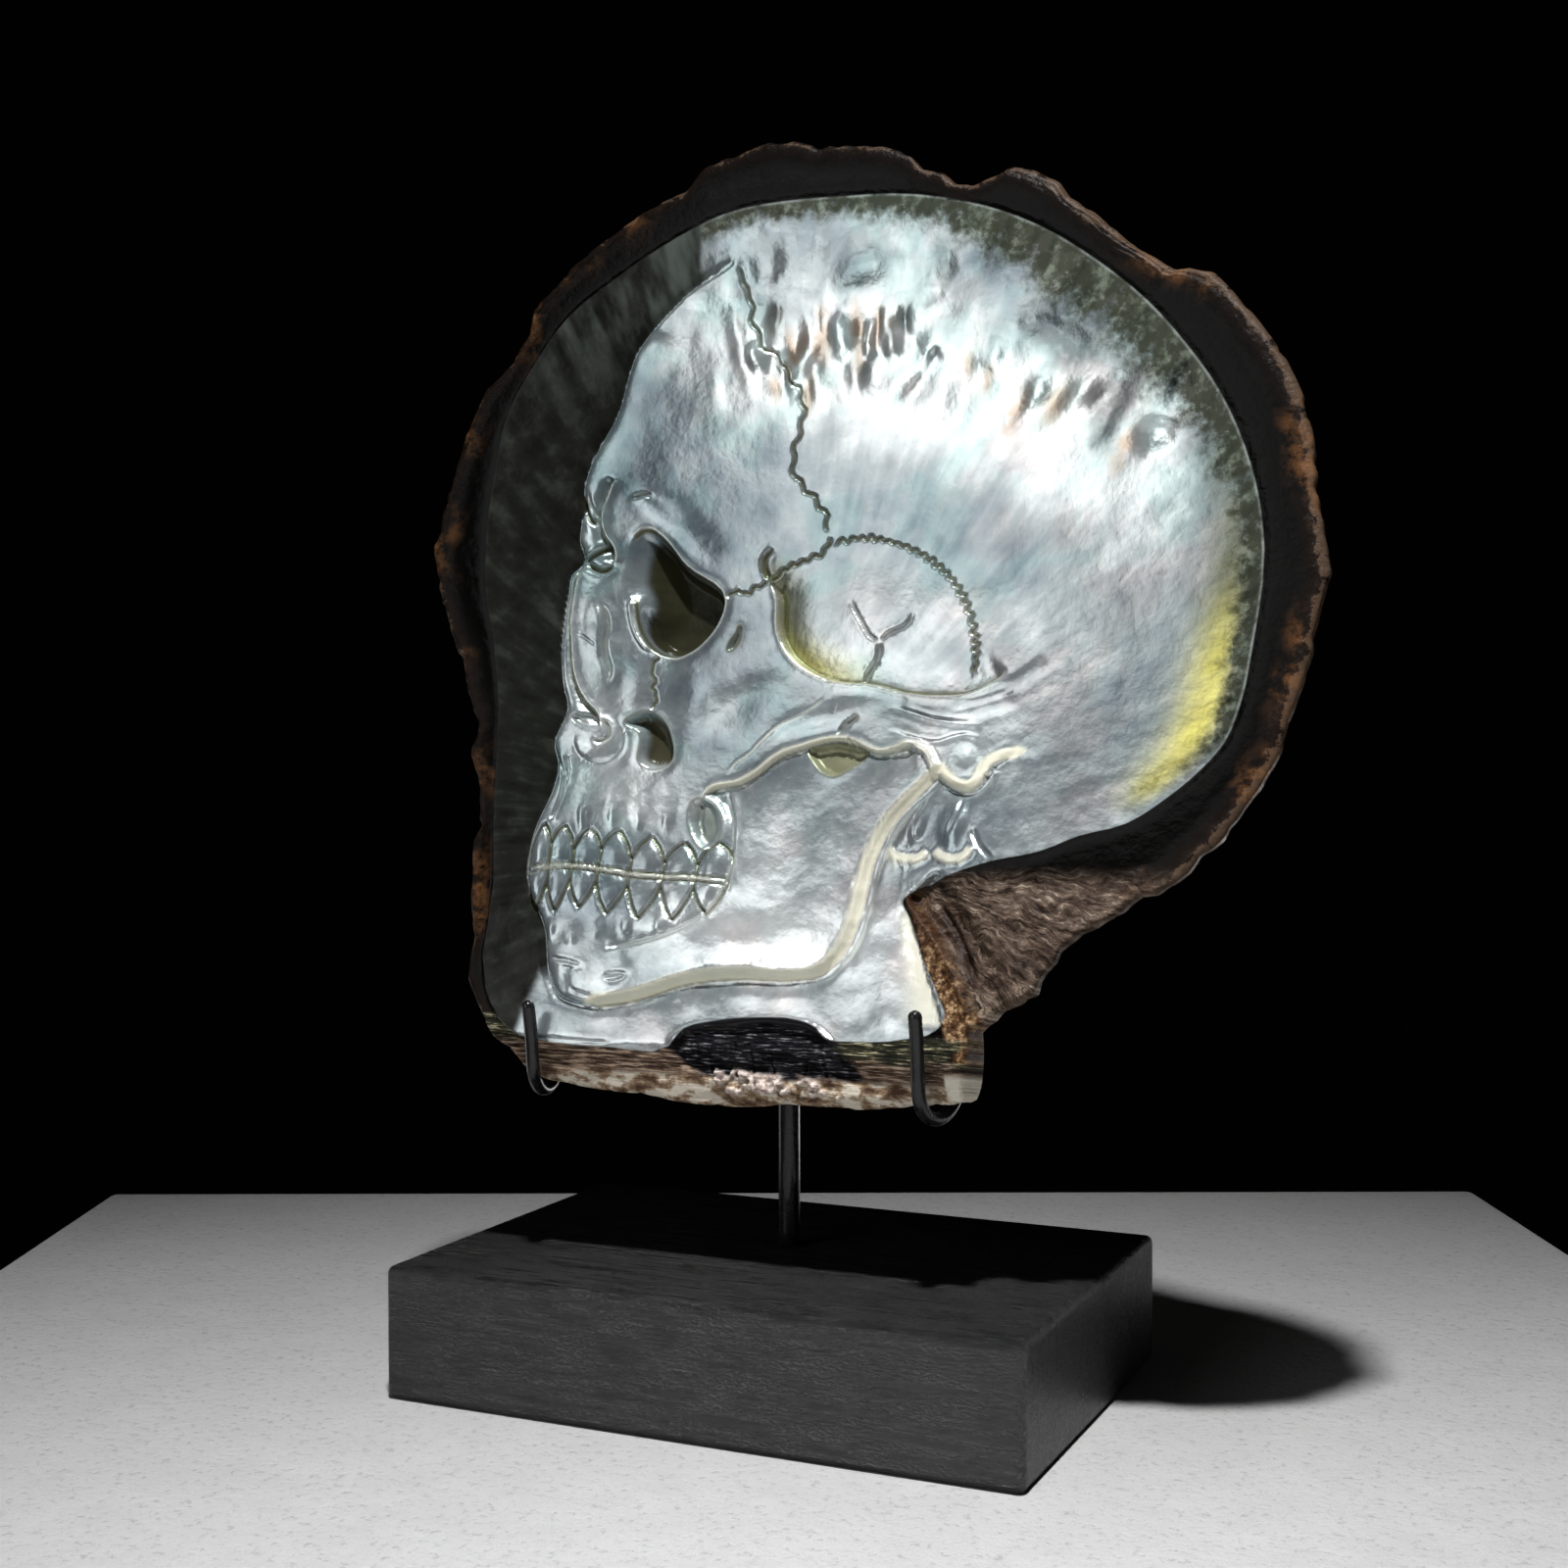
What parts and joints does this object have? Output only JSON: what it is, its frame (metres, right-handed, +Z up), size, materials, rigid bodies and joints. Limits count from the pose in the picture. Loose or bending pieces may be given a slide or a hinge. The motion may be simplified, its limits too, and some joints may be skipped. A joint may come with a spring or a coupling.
{
  "type": "engraved mother-of-pearl shell on a stand",
  "caption": "Large pearl oyster valve carved inside with a skull in profile, leaning in a wire and rod stand on a black wooden block.",
  "frame": {"origin": "centre of the wooden block's underside", "axes": "+X to the viewer's right along the block's long side, +Y back away from the carved face, +Z up"},
  "size_m": [0.1719, 0.08, 0.2306],
  "materials": {
    "nacre": "polished silver-white nacre with a dark horn-like lip and a rough brown back",
    "wood": "black stained hardwood, satin",
    "steel": "gloss black"
  },
  "bodies": {
    "root": {"shell": "nacre", "base": "wood", "rod": "steel", "hook_left": "steel", "hook_right": "steel"}
  },
  "joints": []
}
